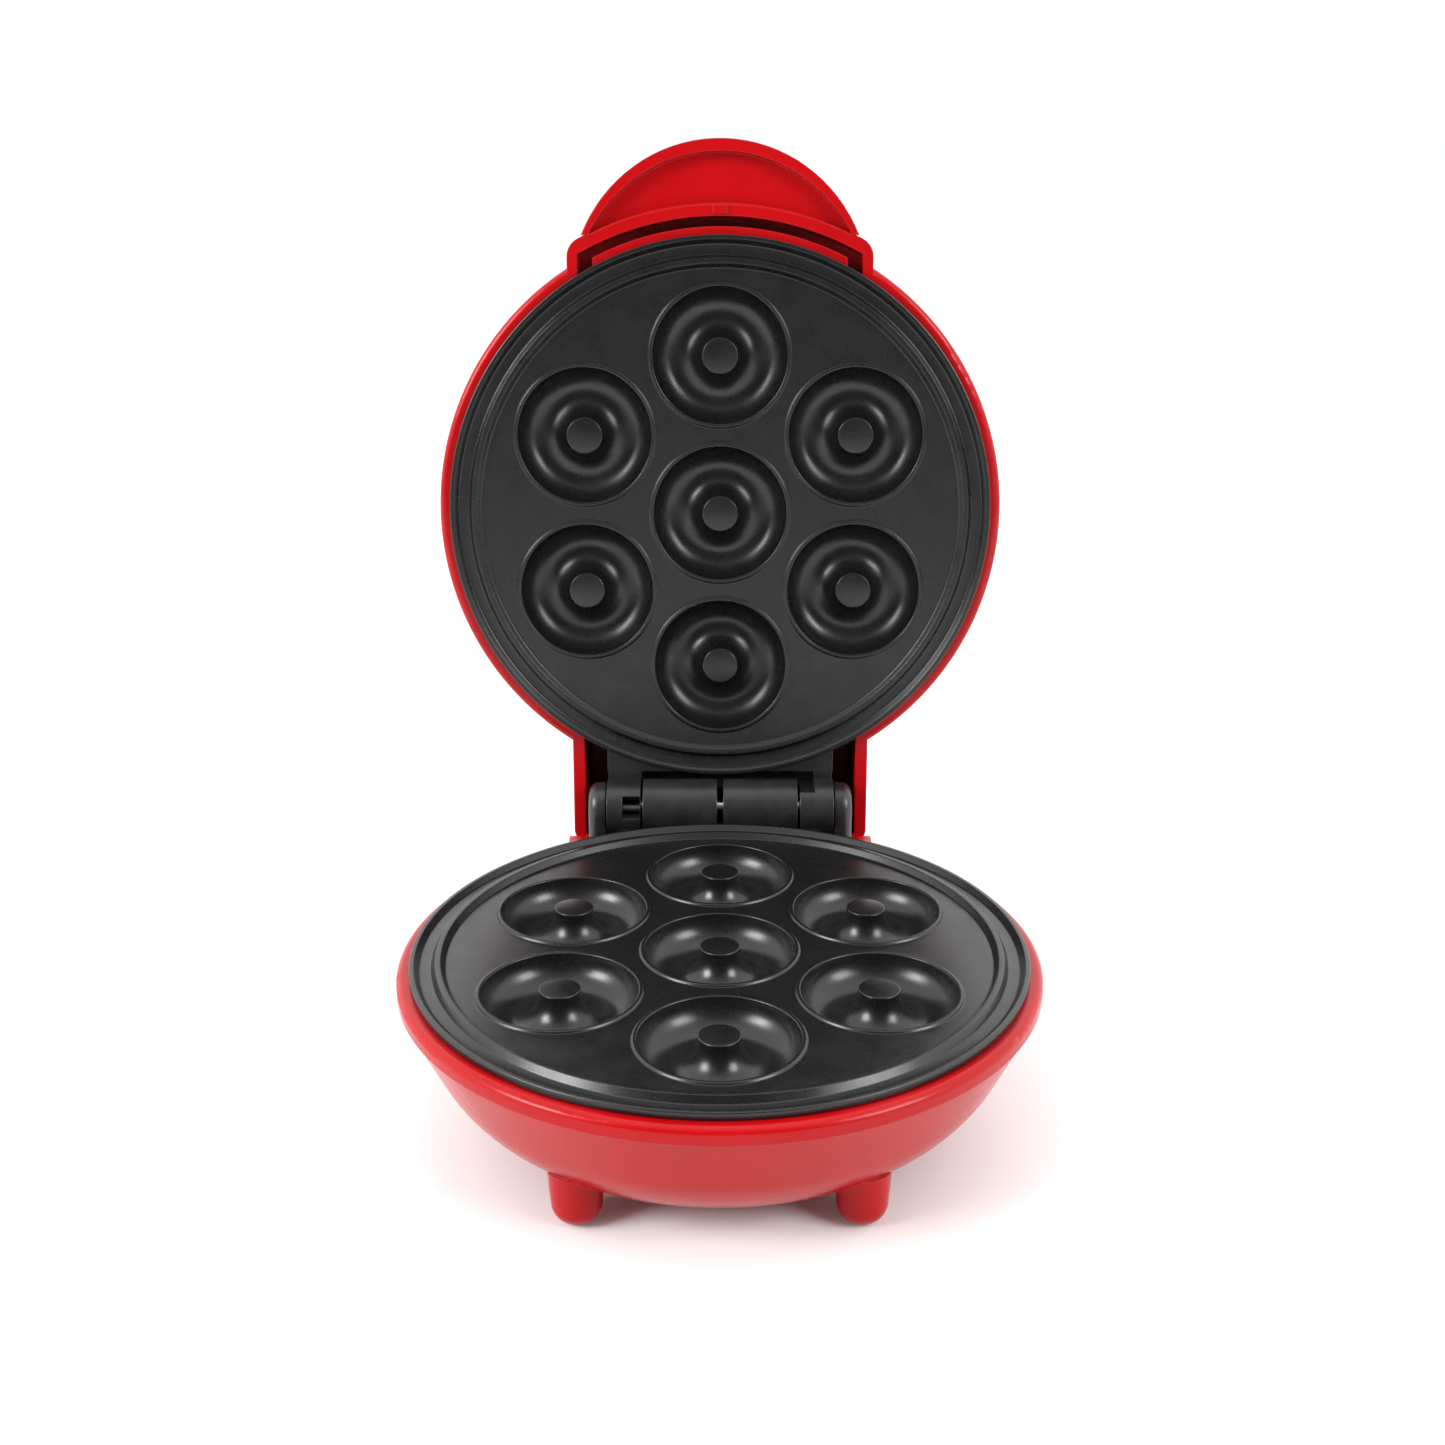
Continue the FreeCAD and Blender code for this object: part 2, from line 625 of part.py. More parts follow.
def rim_points(offset):
    """Points from the bowl's flank over the red rim, for a wall offset inwards."""
    crease = d.shell_radius - 0.9 - offset
    if offset:
        return [(crease, -d.crease_depth), (crease, -6.2), (d.ledge_radius, -5.0),
                (d.ledge_radius, 1), (0, 1)]
    return [
        (crease, -d.crease_depth), (d.shell_radius, -d.crease_depth + 0.7),
        (d.shell_radius, -d.shell_top - 2.4), (d.shell_radius - 2.4, -d.shell_top, 2.4), (0, -d.shell_top),
    ]


def foot(name, x, y, root):
    """Peg with a rounded end that stands on the ground."""
    end = -d.ground
    flat = d.foot_radius - d.foot_round
    return revolved(name, [
        (0, end), (flat, end), (d.foot_radius, end + d.foot_round, d.foot_round),
        (d.foot_radius + 0.9, root), (0, root),
    ], x, y)


def neck_block(name, back, low, high, points):
    """Block for a neck: its side view, with the two upright back corners rounded."""
    side = extruded(name + "_side", "YZ", points, d.neck_half * 2, symmetric=True)
    corner = d.neck_corner
    plan = extruded(name + "_plan", "XY", [
        (-d.neck_half, 50), (d.neck_half, 50), (d.neck_half, back - corner),
        (d.neck_half - corner, back, corner), (corner - d.neck_half, back),
        (-d.neck_half, back - corner, corner),
    ], high - low, start=low)
    return shared(name, [side, plan])


def shell_posts(half, low, high):
    """Posts for the plate screws, kept when a shell is hollowed."""
    posts = []
    for index, (x, y) in enumerate(SCREW_PLACES, start=1):
        posts.append(cylinder(f"{half}_post_{index}", 6.2, high - low, x, y, low))
    return fused(half + "_posts", posts)


def shell_wells(half, low):
    """Screw wells and clearance holes through the posts."""
    holes = []
    for index, (x, y) in enumerate(SCREW_PLACES, start=1):
        holes.append(cylinder(f"{half}_well_{index}", 4.2, -24 - as_size(low), x, y, low))
        holes.append(cylinder(f"{half}_clearance_{index}", 2.3, 12, x, y, -26))
    return holes


def base_housing():
    """Red bowl with rim, rear neck, four feet, posts and bosses."""
    neck_floor = -42.0
    bowl = revolved("base_bowl", bowl_outline(0) + rim_points(0))
    back = d.base_neck_back
    neck = neck_block("base_neck", back, -60, 5, [
        (60, -d.shell_top), (60, neck_floor), (back - 12, neck_floor), (back, neck_floor + 12, 12),
        (back, -d.shell_top),
    ])
    feet = []
    for side, x in (("right", d.foot_x), ("left", -d.foot_x)):
        feet.append(foot("front_foot_" + side, x, -d.front_foot, -38))
        feet.append(foot("rear_foot_" + side, x, d.rear_foot, neck_floor + 1))
    outside = fused("base_outside", [bowl, neck] + feet)

    hollow_bowl = revolved("base_hollow_bowl", bowl_outline(d.shell_wall) + rim_points(d.shell_wall))
    inner_back = back - d.shell_wall
    hollow_neck = extruded("base_hollow_neck", "YZ", [
        (70, 5), (70, neck_floor + 2.5), (inner_back - 10, neck_floor + 2.5),
        (inner_back, neck_floor + 12.5, 10), (inner_back, 5),
    ], d.neck_inner * 2, symmetric=True)
    hollow = fused("base_hollow", [hollow_bowl, hollow_neck])
    posts = shell_posts("base", -56, -d.boss_depth - d.sheet)
    backwards = Rotation(Vector(1, 0, 0), -90)
    bosses = []
    pilots = []
    for index, x in enumerate(BASE_SCREWS_X, start=1):
        bosses.append(cylinder(f"base_bracket_boss_{index}", 4.0, 12, x, 107.5, BASE_SCREWS_Z, backwards))
        pilots.append(cylinder(f"base_pilot_{index}", 1.3, 6, x, 107.5, BASE_SCREWS_Z, backwards))
    for index, x in enumerate((-CLAMP_POST_X, CLAMP_POST_X), start=1):
        low = neck_floor + 1
        bosses.append(cylinder(f"base_clamp_post_{index}", 3.2, CLAMP_Z - low, x, CLAMP_Y, low))
        pilots.append(cylinder(f"base_clamp_pilot_{index}", 1.4, 8, x, CLAMP_Y, CLAMP_Z - 8))
    bosses.append(cylinder("base_block_boss", 3.5, 4.5, 19, BLOCK_Y, -49.5))
    pilots.append(cylinder("base_block_pilot", 1.4, 3.5, 19, BLOCK_Y, -48.5))
    hollow_cut = cut("base_hollow_around_posts", hollow, fused("base_solid_parts", [posts] + bosses))
    shell = cut("base_shell", outside, hollow_cut)
    opening = box("base_back_opening", (-d.neck_inner, inner_back - 1, hinge_z - d.barrel_radius - 0.9),
                  (d.neck_inner, back + 1, 5))
    gland_hole = cylinder("base_gland_hole", 5.2, 12, 0, back - 10, GLAND_Z, backwards)
    reliefs = [cylinder("base_relief_" + side, d.swing_relief, 6, x, d.hinge_y, hinge_z,
                        Rotation(Vector(0, 1, 0), 90))
               for side, x in (("right", d.neck_inner), ("left", -d.neck_inner - 6))]
    tools = fused("base_openings", shell_wells("base", -60) + [opening, gland_hole] + reliefs + pilots)
    return cut("base_housing", shell, tools)


def crown_join(bend, crown):
    """Where the lid's flank bend of one radius runs into its crown."""
    rise_centre = d.crown_height - d.crown_arc
    across = d.bowl_arc_radius
    up = d.bowl_arc_depth - rise_centre
    reach = (across * across + up * up).root()
    return (across + bend * across / reach, d.bowl_arc_depth + bend * up / reach)


def dome_outline(offset):
    """Half section of the lid from its axis to the flank, heights above the upper beads."""
    bend = d.bowl_arc - offset
    crown = d.crown_arc - offset
    join = crown_join(bend, crown)
    top = rise + d.crown_height - offset
    return [
        (0, top), (join[0], rise + join[1], -crown),
        (d.bowl_arc_radius + bend * FLANK_ACROSS, rise + d.bowl_arc_depth + bend * FLANK_DOWN, -bend),
    ]


def lid_rim_points(offset):
    """Points from the lid's flank over its red rim down to the rim's edge."""
    crease = d.shell_radius - 0.9 - offset
    edge = rise + d.shell_top
    if offset:
        return [(crease, rise + d.crease_depth), (crease, rise + 6.2), (d.ledge_radius, rise + 5.0),
                (d.ledge_radius, rise - 2), (0, rise - 2)]
    return [
        (crease, rise + d.crease_depth), (d.shell_radius, rise + d.crease_depth - 0.7),
        (d.shell_radius, edge + 2.4), (d.shell_radius - 2.4, edge, -2.4), (0, edge),
    ]


def handle_and_lip(edge):
    """Front of the lid: the bulge with its lip, and the handle in front of it."""
    top = rise + 26
    corner = 7.0
    shoulder_y = -92.4
    bulge_plan = extruded("lid_bulge_plan", "XY", [
        (-d.bulge_half, -70), (-d.bulge_half, shoulder_y), (-51.8, -98.45, corner),
        (51.8, -98.45, d.lip_outer), (d.bulge_half, shoulder_y, corner), (d.bulge_half, -70),
    ], 50, start=edge)
    bulge_side = extruded("lid_bulge_side", "YZ", [
        (-60, edge), (-60, top + 6), (-92, top + 2), (-104, top - 5, 14), (-d.lip_outer - 0.3, edge + 9, 14),
        (-d.lip_outer - 0.3, edge),
    ], 130, symmetric=True)
    bulge = shared("lid_bulge", [bulge_plan, bulge_side])
    reach = d.handle_arc
    handle_plan = cylinder("lid_handle_plan", reach, 60, 0, -d.handle_centre, edge)
    tip = -d.handle_centre - reach
    handle_side = extruded("lid_handle_side", "YZ", [
        (-100, edge), (-100, edge + 17), (-112, edge + 12.4, 20), (tip + 5, edge + 7.6),
        (tip - 0.3, edge + 3.2, 5.4), (tip - 0.3, edge),
    ], 130, symmetric=True)
    handle = shared("lid_handle", [handle_plan, handle_side])
    return bulge, handle


def lid_slot(edge):
    """Curved slot between the lip and the wall behind it, and the open ends beside that wall."""
    low = edge - 1
    full = cut("lid_slot_ring", cylinder("lid_slot_outer", d.lip_inner, 17, 0, 0, low),
               cylinder("lid_slot_inner", d.slot_inner, 17, 0, 0, low))
    front = box("lid_slot_front", (-d.slot_half, -120, 0), (d.slot_half, -80, 60))
    ends = cut("lid_slot_ends", cylinder("lid_slot_ends_outer", d.lip_inner, 13, 0, 0, low),
               cylinder("lid_slot_ends_inner", d.ledge_radius + 1, 13, 0, 0, low))
    beside = [box("lid_slot_left", (-d.slot_half, -120, 0), (-d.slot_wall_half, -80, 60)),
              box("lid_slot_right", (d.slot_wall_half, -120, 0), (d.slot_half, -80, 60))]
    return fused("lid_slot", [shared("lid_slot_middle", [full, front]),
                              shared("lid_slot_sides", [ends, fused("lid_slot_beside", beside)])])


def lid_housing():
    """Red dome with rim, front lip, handle, rear neck, posts and bosses."""
    edge = rise + d.shell_top
    dome = revolved("lid_dome", dome_outline(0) + lid_rim_points(0))
    back = d.lid_neck_back
    roof = rise + 40.0
    neck = neck_block("lid_neck", back, 0, 80, [
        (60, edge), (back, edge), (back, roof - 14), (back - 14, roof, 14), (84, roof + 2), (60, roof + 2),
    ])
    bulge, handle = handle_and_lip(edge)
    nub = box("lid_latch_nub", (-2.6, -110.2, edge - 0.6), (2.6, -107.4, edge + 1))
    outside = fused("lid_outside", [dome, neck, bulge, handle, nub])

    hollow_dome = revolved("lid_hollow_dome",
                           dome_outline(d.shell_wall + d.cover_sheet + 0.3) + lid_rim_points(d.shell_wall))
    inner_back = back - d.shell_wall
    hollow_neck = extruded("lid_hollow_neck", "YZ", [
        (70, 0), (inner_back, 0), (inner_back, roof - 14), (inner_back - 12, roof - 2.5, 12),
        (84, roof - 0.5), (70, roof - 0.5),
    ], d.neck_inner * 2, symmetric=True)
    hollow = fused("lid_hollow", [hollow_dome, hollow_neck])
    post_foot = rise + d.boss_depth + d.sheet
    posts = shell_posts("lid", post_foot, post_foot + 50)
    backwards = Rotation(Vector(1, 0, 0), -90)
    bosses = []
    pilots = []
    for index, x in enumerate(LID_SCREWS_X, start=1):
        bosses.append(cylinder(f"lid_bracket_boss_{index}", 4.0, 30, x, 99.9, LID_SCREWS_Z, backwards))
        pilots.append(cylinder(f"lid_pilot_{index}", 1.3, 9, x, 99.9, LID_SCREWS_Z, backwards))
    lens_seats = []
    lens_holes = []
    for side, x in (("left", -LENS_X), ("right", LENS_X)):
        lens_seats.append(cylinder("lid_lens_seat_" + side, 5.2, 30, x, LENS_Y, rise + 45))
        lens_holes.append(cylinder("lid_lens_hole_" + side, 3.2, 60, x, LENS_Y, rise + 20))
    kept = fused("lid_solid_parts", [posts] + bosses + lens_seats)
    shell = cut("lid_shell", outside, cut("lid_hollow_around_posts", hollow, kept))

    cover_seat = cut("lid_cover_seat",
                     cylinder("lid_cover_seat_disc", d.cover_radius + 0.2, 60, 0, 0, rise + 20),
                     revolved("lid_below_cover", dome_outline(d.cover_sheet + 0.3) + [
                         (d.shell_radius, rise + 10), (d.shell_radius, rise), (0, rise)]))
    slot = lid_slot(edge)
    hollow_grip = shared("lid_handle_hollow", [
        cylinder("lid_handle_hollow_plan", d.recess_arc, d.handle_recess, 0, -d.recess_centre, edge),
        cut("lid_handle_hollow_front", box("lid_handle_hollow_box", (-60, -140, 0), (60, -90, 60)),
            revolved("lid_handle_hollow_lip", [
                (0, 0), (d.lip_outer - 1.2, 0), (d.lip_outer - 1.2, edge),
                (d.lip_outer, edge + 1.2, 1.2), (d.lip_outer, 60), (0, 60)])),
    ])
    wells = []
    for index, (x, y) in enumerate(SCREW_PLACES, start=1):
        wells.append(cylinder(f"lid_well_{index}", 4.2, 60, x, y, rise + 24))
        wells.append(cylinder(f"lid_clearance_{index}", 2.3, 12, x, y, rise + 14))
    tools = fused("lid_openings", [cover_seat, slot, hollow_grip] + wells + lens_holes + pilots)
    return cut("lid_housing", shell, tools)


def lid_cover():
    """Smooth cover that snaps over the lid's screw wells, with two lens holes."""
    skin = revolved("cover_skin", dome_outline(0) + [(d.shell_radius, rise + 10), (0, rise + 10)])
    under = revolved("cover_under", dome_outline(d.cover_sheet) + [(d.shell_radius, rise), (0, rise)])
    disc = cylinder("cover_disc", d.cover_radius - 0.1, 60, 0, 0, rise + 20)
    dish = cut("cover_dish", shared("cover_blank", [skin, disc]), under)
    holes = fused("cover_lens_holes", [
        cylinder("cover_lens_hole_" + side, 3.7, 60, x, LENS_Y, rise + 20)
        for side, x in (("left", -LENS_X), ("right", LENS_X))
    ])
    return cut("lid_cover", dish, holes)


def lens_and_lamp(name, x):
    """Small domed lens flush in the cover, and the neon lamp under it."""
    seat = rise + 49.6
    lens = revolved(name + "_lens", [
        (0, seat), (3.1, seat), (3.1, seat + 3.4), (3.55, seat + 3.4), (3.55, seat + 5.4),
        (0.5, seat + 6.4, 6.8), (0, seat + 6.4),
    ], x, LENS_Y)
    lamp = revolved(name + "_lamp", [
        (0, seat - 13), (2.4, seat - 13), (2.4, seat - 3), (0.4, seat - 0.8, 2.6),
        (0, seat - 0.8),
    ], x, LENS_Y)
    return lens, lamp


def base_bracket():
    """Black hinge half of the base: web, two middle barrels and two rounded ears, bored for the pin."""
    body = new_body("base_hinge_bracket")
    centre = (d.hinge_y, hinge_z)
    barrels = []
    for side in (1, -1):
        name = "right" if side > 0 else "left"
        start = d.barrel_inner if side > 0 else -d.barrel_outer
        barrel = sketch_in(body, f"base_{name}_barrel_outline", "YZ_Plane", z=start)
        circles(barrel, [centre], d.barrel_radius)
        barrels.append(raised(body, f"base_{name}_barrel", barrel, d.barrel_outer - d.barrel_inner))
        arm = sketch_in(body, f"base_{name}_arm_outline", "YZ_Plane", z=start)
        outline(arm, rectangle(103.5, -26, 110, hinge_z))
        raised(body, f"base_{name}_arm", arm, d.barrel_outer - d.barrel_inner)
    web = sketch_in(body, "base_web_outline", "YZ_Plane")
    outline(web, rectangle(103.5, -26, 107.5, hinge_z - d.barrel_radius - 0.9))
    raised(body, "base_web", web, d.ear_outer * 2, both_ways=True)
    front = d.hinge_y - d.ear_radius
    for name, inner, outer, bend in (("right", d.ear_inner, d.ear_outer, d.ear_round),
                                     ("left", -d.ear_inner, -d.ear_outer, -d.ear_round)):
        stem = sketch_in(body, f"base_{name}_ear_stem_outline", "XY_Plane", z=-26)
        outline(stem, [(inner, front), (outer - bend, front), (outer, front + d.ear_round, bend),
                       (outer, 110), (inner, 110)])
        raised(body, f"base_{name}_ear_stem", stem, hinge_z + 26)
        cap = sketch_in(body, f"base_{name}_ear_outline", "XY_Plane", y=d.hinge_y, z=hinge_z)
        outline(cap, [(inner, 0), (outer, 0), (outer, d.ear_radius - d.ear_round),
                      (outer - bend, d.ear_radius, bend), (inner, d.ear_radius)])
        turned(body, f"base_{name}_ear", cap, "H_Axis")
    bore = sketch_in(body, "base_hinge_bore_outline", "YZ_Plane")
    circles(bore, [centre], d.pin_radius)
    sunk(body, "base_hinge_bore", bore, 110, both_ways=True)
    holes = sketch_in(body, "base_bracket_holes_outline", "XZ_Plane", z=-100)
    circles(holes, [(x, BASE_SCREWS_Z) for x in BASE_SCREWS_X], 1.8)
    sunk(body, "base_bracket_holes", holes, 20)
    notch = sketch_in(body, "base_cord_notch_outline", "XZ_Plane", z=-100)
    outline(notch, rectangle(-5, -27, 5, -17.5))
    sunk(body, "base_cord_notch", notch, 9)
    return body


def lid_bracket():
    """Black hinge half of the lid: upright web, flat panel and two end knuckles."""
    body = new_body("lid_hinge_bracket")
    panel_low = hinge_z + 5.5
    front = 97.2
    web_back = 99.9
    half = d.knuckle_outer + 0.3
    web = sketch_in(body, "lid_web_outline", "YZ_Plane")
    outline(web, rectangle(front, panel_low, web_back, 34))
    raised(body, "lid_web", web, half * 2, both_ways=True)
    panel = sketch_in(body, "lid_panel_outline", "XY_Plane", z=panel_low)
    arc = 97.5
    corner_y = math.sqrt(arc * arc - half.value * half.value)
    outline(panel, [(half, corner_y, -arc), (half, web_back), (-half, web_back), (-half, corner_y)])
    raised(body, "lid_panel", panel, 4)
    for side in (1, -1):
        name = "right" if side > 0 else "left"
        start = d.knuckle_inner if side > 0 else -d.knuckle_outer
        knuckle = sketch_in(body, f"lid_{name}_knuckle_outline", "YZ_Plane", z=start)
        circles(knuckle, [(d.hinge_y, hinge_z)], d.barrel_radius)
        raised(body, f"lid_{name}_knuckle", knuckle, d.knuckle_outer - d.knuckle_inner)
        arm = sketch_in(body, f"lid_{name}_arm_outline", "YZ_Plane", z=start)
        outline(arm, rectangle(99, panel_low, d.hinge_y, hinge_z + d.barrel_radius))
        raised(body, f"lid_{name}_arm", arm, d.knuckle_outer - d.knuckle_inner)
    shroud = sketch_in(body, "lid_shroud_outline", "YZ_Plane")
    low = hinge_z + d.barrel_radius + 0.7
    outline(shroud, rectangle(front + 1, low, 124, low + 2.5))
    raised(body, "lid_shroud", shroud, half * 2, both_ways=True)
    bore = sketch_in(body, "lid_hinge_bore_outline", "YZ_Plane")
    circles(bore, [(d.hinge_y, hinge_z)], d.pin_radius + d.running_gap)
    sunk(body, "lid_hinge_bore", bore, 110, both_ways=True)
    window = sketch_in(body, "lid_left_window_outline", "XY_Plane", z=-15)
    outline(window, rectangle(-37.2, 106.1, -30.4, 114.4))
    sunk(body, "lid_left_window", window, 15 + hinge_z + 1, reverse=True)
    corner = sketch_in(body, "lid_right_window_outline", "XY_Plane", z=-15)
    outline(corner, rectangle(29, 100, 36.0, 104.7))
    sunk(body, "lid_right_window", corner, 15 + hinge_z + d.barrel_radius + 0.5, reverse=True)
    holes = sketch_in(body, "lid_bracket_holes_outline", "XZ_Plane", z=-90)
    circles(holes, [(x, LID_SCREWS_Z) for x in LID_SCREWS_X], 1.8)
    sunk(body, "lid_bracket_holes", holes, 20)
    return body


def bracket_screws(name, places, front, z):
    """Screws that point backwards through a hinge bracket into the shell's bosses."""
    backwards = Rotation(Vector(1, 0, 0), -90)
    return group(name, [screw(f"{name}_{i}", 3.2, 1.8, 1.2, 8.0, x, front, z, backwards)
                        for i, x in enumerate(places, start=1)])


def hinge_pin():
    """Steel pin through both ears, all barrels and both knuckles."""
    sideways = Rotation(Vector(0, 1, 0), 90)
    rod = cylinder("hinge_pin_rod", d.pin_radius, d.ear_outer * 2, -d.ear_outer, d.hinge_y, hinge_z, sideways)
    return group("hinge_pin", [rod])


def cord_gland():
    """Rubber grommet in the back wall, where the mains cord goes in."""
    gland = new_body("cord_gland")
    ring = sketch_in(gland, "gland_outline", "XY_Plane", y=d.base_neck_back - 4.65, z=GLAND_Z)
    outline(ring, [
        (3.3, 0), (7.5, 0), (7.5, 2.0), (5.0, 2.0), (5.0, 4.8), (7.5, 4.8), (7.5, 7.4), (6.0, 9.0), (3.3, 9.0),
    ])
    turned(gland, "gland_ring", ring)
    return gland


def cord_clamp():
    """Arched bar over two posts that holds the cord, and its two screws."""
    clamp = new_body("cord_clamp")
    bar = sketch_in(clamp, "clamp_outline", "XZ_Plane", z=-CLAMP_Y - 4)
    outline(bar, [
        (-12.5, CLAMP_Z), (-5, CLAMP_Z), (-4, CLAMP_Z + 1.2, -3.4), (4, CLAMP_Z + 1.2), (5, CLAMP_Z, -3.4),
        (12.5, CLAMP_Z), (12.5, CLAMP_Z + 3), (-12.5, CLAMP_Z + 3),
    ])
    raised(clamp, "clamp_bar", bar, 8)
    holes = sketch_in(clamp, "clamp_holes_outline", "XY_Plane", z=CLAMP_Z - 5)
    circles(holes, mirrored_pair(as_size(CLAMP_POST_X), CLAMP_Y), 1.7)
    sunk(clamp, "clamp_holes", holes, 12, reverse=True)
    down = Rotation(Vector(1, 0, 0), 180)
    screws = [screw(f"clamp_screw_{side}", 2.6, 1.6, 1.3, 8.0, x, CLAMP_Y, CLAMP_Z + 3, down)
              for side, x in (("right", CLAMP_POST_X), ("left", -CLAMP_POST_X))]
    return clamp, group("cord_clamp_screws", screws)


def terminal_block():
    """Three-way block where the leads meet, standing on the bowl's floor, and its screw."""
    floor = -d.bowl_arc_depth - d.bowl_arc + d.shell_wall
    blank = fused("terminal_block_blank", [
        box("terminal_block_bar", (-15, BLOCK_Y - 7, floor), (15, BLOCK_Y + 7, floor + 10.5)),
        box("terminal_block_lug", (14, BLOCK_Y - 4, floor + 3.5), (23, BLOCK_Y + 4, floor + 6.5)),
    ])
    bores = [cylinder("terminal_block_lug_hole", 1.7, 20, 19, BLOCK_Y, floor)]
    for index, x in enumerate((-10, 0, 10), start=1):
        bores.append(cylinder(f"terminal_block_bore_{index}", 1.8, 18, x, BLOCK_Y + 9, floor + 6,
                              Rotation(Vector(1, 0, 0), 90)))
        bores.append(cylinder(f"terminal_block_screw_well_{index}", 1.6, 8, x, BLOCK_Y - 3, floor + 6))
    block = cut("terminal_block", blank, fused("terminal_block_bores", bores))
    down = Rotation(Vector(1, 0, 0), 180)
    fixing = screw("terminal_block_fixing", 2.6, 1.6, 1.3, 5.5, 19, BLOCK_Y, floor + 6.5, down)
    return block, group("terminal_block_screw", [fixing])


def placements():
    """Where the base and the open lid stand in the object's own frame."""
    shift = Placement(Vector(0, -d.frame_back.value, d.ground.value), Rotation())
    hinge = Vector(0, d.hinge_y.value, hinge_z.value)
    opening = Placement(Vector(0, 0, 0), Rotation(Vector(1, 0, 0), -d.open_angle.value), hinge)
    upside_down = Placement(Vector(0, 0, rise.value), FLIPPED)
    return shift, shift * opening, upside_down


def build():
    """Make every piece and say where it goes."""
    base, lid, upside_down = placements()
    pieces = []
    for half, place in (("lower", base), ("upper", lid * upside_down)):
        insulators, pins = element_terminals(half)
        fuse, clip, fixing = thermal_fuse(half)
        for piece in (plate(half), heating_element(half), insulators, pins, heat_shield(half),
                      plate_screws(half), thermostat(half), thermostat_screws(half), fuse, clip, fixing):
            pieces.append((piece, place))
    base_pieces = [base_housing(), base_bracket(), hinge_pin(), cord_gland()]
    base_pieces += cord_clamp() + terminal_block()
    base_pieces.append(bracket_screws("base_bracket_screws", BASE_SCREWS_X, 103.5, BASE_SCREWS_Z))
    lid_pieces = [lid_housing(), lid_cover(), lid_bracket()]
    lid_pieces.append(bracket_screws("lid_bracket_screws", LID_SCREWS_X, 97.2, LID_SCREWS_Z))
    for name, x in (("power", -LENS_X), ("ready", LENS_X)):
        lid_pieces += lens_and_lamp(name, x)
    pieces += [(piece, base) for piece in base_pieces]
    pieces += [(piece, lid) for piece in lid_pieces]
    return pieces


def check_objects():
    """Stop if any object of the document failed."""
    failed = [o.Name for o in doc.Objects if "Invalid" in o.State or "Error" in o.State]
    if failed:
        raise SystemExit("failed objects: " + ", ".join(failed))


def write(pieces):
    """Place, check and export every piece."""
    doc.recompute()
    check_objects()
    for piece, place in pieces:
        piece.Label = piece.Name
        piece.Placement = place * piece.Placement
    doc.recompute()
    check_objects()
    for piece, _ in pieces:
        if piece.Shape.isNull() or not piece.Shape.isValid():
            raise SystemExit(piece.Name + " has no valid shape")
    os.makedirs("parts", exist_ok=True)
    for piece, _ in pieces:
        piece.Shape.exportStep("parts/" + piece.Name + ".step")
        print(f"{piece.Name:28s} solids {len(piece.Shape.Solids)} volume {piece.Shape.Volume:10.1f}")


write(build())
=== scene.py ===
"""Looks of the donut maker: dark non-stick plates, glossy red shells and a black hinge."""
import json
import math

import bpy
from mathutils import Euler, Matrix, Vector
from mathutils.geometry import delaunay_2d_cdt

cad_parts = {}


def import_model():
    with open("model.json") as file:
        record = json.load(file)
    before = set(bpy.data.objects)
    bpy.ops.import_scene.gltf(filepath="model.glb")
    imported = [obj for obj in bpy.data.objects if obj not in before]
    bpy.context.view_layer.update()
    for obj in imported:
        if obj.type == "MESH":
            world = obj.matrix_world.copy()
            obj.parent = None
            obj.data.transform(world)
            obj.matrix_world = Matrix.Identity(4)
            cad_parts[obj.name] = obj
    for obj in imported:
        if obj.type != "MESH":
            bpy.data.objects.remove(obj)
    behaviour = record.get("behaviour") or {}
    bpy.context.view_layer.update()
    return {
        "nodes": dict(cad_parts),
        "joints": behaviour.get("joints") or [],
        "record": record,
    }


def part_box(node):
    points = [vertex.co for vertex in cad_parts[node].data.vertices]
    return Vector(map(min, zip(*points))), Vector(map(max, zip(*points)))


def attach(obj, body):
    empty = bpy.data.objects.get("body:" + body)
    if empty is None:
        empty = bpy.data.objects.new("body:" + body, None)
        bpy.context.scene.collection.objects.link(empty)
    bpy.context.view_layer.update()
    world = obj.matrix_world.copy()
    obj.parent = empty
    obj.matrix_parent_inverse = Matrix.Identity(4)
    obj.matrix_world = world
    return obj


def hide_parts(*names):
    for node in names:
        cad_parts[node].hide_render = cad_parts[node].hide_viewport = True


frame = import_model()

MM = 0.001
HINGE = frame["joints"][0]
HINGE_POINT = Vector(HINGE["pos_m"])
OPEN_ANGLE = math.radians(HINGE["range_deg"][1])
PLATE_LOW, PLATE_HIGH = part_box("lower_plate")

# Sizes of a plate, in millimetres, as the CAD gives them; heights are from the top of its flat web
RIDGE_HEIGHT = 2.0
RIDGE_GAP = 1.84  # between the two ridges with the lid shut
PITCH_RADIUS = 57.5  # of the circle that six of the cavities lie on
WEB_RADIUS = 88.0  # the web ends just before the ridge
UNDERSIDE = -4.0
UNDERSIDE_RADIUS = 83.9  # the underside ends at the inner rib
RIB_FOOT = -8.5
TROUGH_RADIUS = 15.6  # from a cavity's middle to the bottom of its ring
TROUGH_LEVEL = -0.3  # height of the middle of the ring's round section
TROUGH_SECTION = 9.0  # radius of that section
CUP_SECTION = 11.5  # the same for the cup under the ring
CUP_RADIUS = 26.2  # of the cup where it meets the underside
BEAD_FOOT = 26.9  # radius where the web meets the bead round a cavity
CAVITY_SEGMENTS = 96
EDGE_SEGMENTS = 256

# Middle of the lower plate at the top of its web, in metres
PLATE_MIDDLE = Vector((0, (PLATE_LOW.y + PLATE_HIGH.y) / 2, PLATE_HIGH.z - RIDGE_HEIGHT * MM))


# Places

